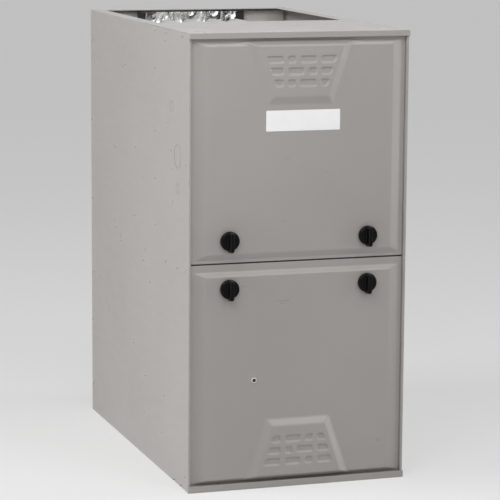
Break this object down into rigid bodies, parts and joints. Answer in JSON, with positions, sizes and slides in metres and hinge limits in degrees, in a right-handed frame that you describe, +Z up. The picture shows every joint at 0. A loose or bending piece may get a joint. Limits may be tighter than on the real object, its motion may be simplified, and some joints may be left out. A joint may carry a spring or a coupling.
{
  "type": "forced air gas furnace",
  "caption": "Upright condensing gas furnace: sheet casing, hooked doors with quarter-turn latches, burners, heat exchanger, draft inducer, gas valve and blower.",
  "frame": {"origin": "on the floor under the middle of the overall box, which runs from the door knobs to the back panel", "axes": "+Z up, the doors face -Y, +X to the right as seen from the front"},
  "size_m": [0.4474, 0.771, 0.889],
  "materials": {
    "left_side_panel": "satin baked enamel on steel sheet",
    "right_side_panel": "satin baked enamel on steel sheet",
    "back_panel": "satin baked enamel on steel sheet",
    "top_plate": "satin baked enamel on steel sheet",
    "base_rail": "satin baked enamel on steel sheet",
    "divider_rail": "galvanised sheet",
    "blower_deck": "galvanised sheet",
    "vestibule_panel": "galvanised sheet",
    "casing_insulation": "foil faced glass wool board",
    "casing_screws": "zinc plated steel",
    "heat_tubes": "aluminised steel tube",
    "coupling_box": "stainless sheet",
    "condensing_coil": "aluminium fins on stainless tubes",
    "collector_box": "moulded high temperature plastic",
    "inducer_housing": "moulded high temperature plastic",
    "inducer_motor": "painted motor shell",
    "vent_collar": "black rubber",
    "burner_box": "galvanised sheet",
    "burner_rack": "aluminised pressed steel",
    "igniter": "bare ceramic",
    "flame_sensor": "bare ceramic",
    "gas_manifold": "dark painted steel pipe",
    "gas_orifices": "turned brass",
    "gas_valve": "die cast aluminium",
    "gas_grommet": "black rubber",
    "rollout_switch": "black phenolic",
    "limit_switch": "black phenolic",
    "pressure_switch": "ivory plastic",
    "pressure_hose": "black rubber",
    "condensate_trap": "grey plastic",
    "junction_box": "galvanised sheet",
    "control_panel": "galvanised sheet",
    "control_board": "green circuit board",
    "transformer": "varnished laminations",
    "door_switch": "black phenolic",
    "run_capacitor": "bare aluminium can",
    "blower_housing": "galvanised sheet",
    "blower_motor": "black painted motor shell",
    "motor_mount": "galvanised sheet",
    "upper_door_panel": "satin baked enamel on steel sheet",
    "upper_door_insulation": "foil faced glass wool board",
    "badge_plate": "white",
    "lower_door_panel": "satin baked enamel on steel sheet",
    "lower_door_insulation": "foil faced glass wool board",
    "sight_glass": "dark lens in a plastic bezel",
    "upper_left_knob": "black glossy plastic",
    "upper_left_latch": "zinc plated steel",
    "upper_right_knob": "black glossy plastic",
    "upper_right_latch": "zinc plated steel",
    "lower_left_knob": "black glossy plastic",
    "lower_left_latch": "zinc plated steel",
    "lower_right_knob": "black glossy plastic",
    "lower_right_latch": "zinc plated steel",
    "blower_wheel": "galvanised sheet",
    "blower_shaft": "zinc plated steel",
    "inducer_wheel": "zinc plated steel",
    "inducer_shaft": "zinc plated steel",
    "gas_valve_knob": "red plastic",
    "rollout_button": "red plastic",
    "door_switch_plunger": "white"
  },
  "bodies": {
    "casing": {"left_side_panel": "left_side_panel", "right_side_panel": "right_side_panel", "back_panel": "back_panel", "top_plate": "top_plate", "base_rail": "base_rail", "divider_rail": "divider_rail", "blower_deck": "blower_deck", "vestibule_panel": "vestibule_panel", "casing_insulation": "casing_insulation", "casing_screws": "casing_screws", "heat_tubes": "heat_tubes", "coupling_box": "coupling_box", "condensing_coil": "condensing_coil", "collector_box": "collector_box", "inducer_housing": "inducer_housing", "inducer_motor": "inducer_motor", "vent_collar": "vent_collar", "burner_box": "burner_box", "burner_rack": "burner_rack", "igniter": "igniter", "flame_sensor": "flame_sensor", "gas_manifold": "gas_manifold", "gas_orifices": "gas_orifices", "gas_valve": "gas_valve", "gas_grommet": "gas_grommet", "rollout_switch": "rollout_switch", "limit_switch": "limit_switch", "pressure_switch": "pressure_switch", "pressure_hose": "pressure_hose", "condensate_trap": "condensate_trap", "junction_box": "junction_box", "control_panel": "control_panel", "control_board": "control_board", "transformer": "transformer", "door_switch": "door_switch", "run_capacitor": "run_capacitor", "blower_housing": "blower_housing", "blower_motor": "blower_motor", "motor_mount": "motor_mount"},
    "upper_door": {"upper_door_panel": "upper_door_panel", "upper_door_insulation": "upper_door_insulation", "badge_plate": "badge_plate"},
    "lower_door": {"lower_door_panel": "lower_door_panel", "lower_door_insulation": "lower_door_insulation", "sight_glass": "sight_glass"},
    "upper_left_lock": {"upper_left_knob": "upper_left_knob", "upper_left_latch": "upper_left_latch"},
    "upper_right_lock": {"upper_right_knob": "upper_right_knob", "upper_right_latch": "upper_right_latch"},
    "lower_left_lock": {"lower_left_knob": "lower_left_knob", "lower_left_latch": "lower_left_latch"},
    "lower_right_lock": {"lower_right_knob": "lower_right_knob", "lower_right_latch": "lower_right_latch"},
    "blower_rotor": {"blower_wheel": "blower_wheel", "blower_shaft": "blower_shaft"},
    "inducer_rotor": {"inducer_wheel": "inducer_wheel", "inducer_shaft": "inducer_shaft"},
    "gas_shutoff": {"gas_valve_knob": "gas_valve_knob"},
    "rollout_reset": {"rollout_button": "rollout_button"},
    "interlock_plunger": {"door_switch_plunger": "door_switch_plunger"}
  },
  "joints": [
    {"name": "upper_door_swing", "type": "hinge", "parent": "casing", "child": "upper_door", "pos_m": [0, -0.3543, 0.8785], "axis": [-1, 0, 0], "range_deg": [0, 40]},
    {"name": "lower_door_swing", "type": "hinge", "parent": "casing", "child": "lower_door", "pos_m": [0, -0.3605, 0.0145], "axis": [1, 0, 0], "range_deg": [0, 40]},
    {"name": "upper_left_knob_turn", "type": "hinge", "parent": "upper_door", "child": "upper_left_lock", "pos_m": [-0.141, -0.3635, 0.491], "axis": [0, 1, 0], "range_deg": [0, 90]},
    {"name": "upper_right_knob_turn", "type": "hinge", "parent": "upper_door", "child": "upper_right_lock", "pos_m": [0.141, -0.3635, 0.491], "axis": [0, -1, 0], "range_deg": [0, 90]},
    {"name": "lower_left_knob_turn", "type": "hinge", "parent": "lower_door", "child": "lower_left_lock", "pos_m": [-0.141, -0.3635, 0.3975], "axis": [0, -1, 0], "range_deg": [0, 90]},
    {"name": "lower_right_knob_turn", "type": "hinge", "parent": "lower_door", "child": "lower_right_lock", "pos_m": [0.141, -0.3635, 0.3975], "axis": [0, 1, 0], "range_deg": [0, 90]},
    {"name": "blower_spin", "type": "hinge", "parent": "casing", "child": "blower_rotor", "pos_m": [0, 0.0665, 0.19], "axis": [1, 0, 0], "continuous": true},
    {"name": "inducer_spin", "type": "hinge", "parent": "casing", "child": "inducer_rotor", "pos_m": [-0.04, -0.23, 0.555], "axis": [0, 1, 0], "continuous": true},
    {"name": "gas_valve_turn", "type": "hinge", "parent": "casing", "child": "gas_shutoff", "pos_m": [0.136, -0.3155, 0.64], "axis": [0, -1, 0], "range_deg": [0, 90]},
    {"name": "rollout_reset_press", "type": "slide", "parent": "casing", "child": "rollout_reset", "axis": [0, 1, 0], "range_m": [0, 0.003], "stiffness_N_per_m": 300},
    {"name": "interlock_travel", "type": "slide", "parent": "casing", "child": "interlock_plunger", "axis": [0, -1, 0], "range_m": [0, 0.005]}
  ],
  "couplings": [
    {"joint": "interlock_travel", "follows": "lower_door_swing", "m_per_rad": 0.00716}
  ]
}
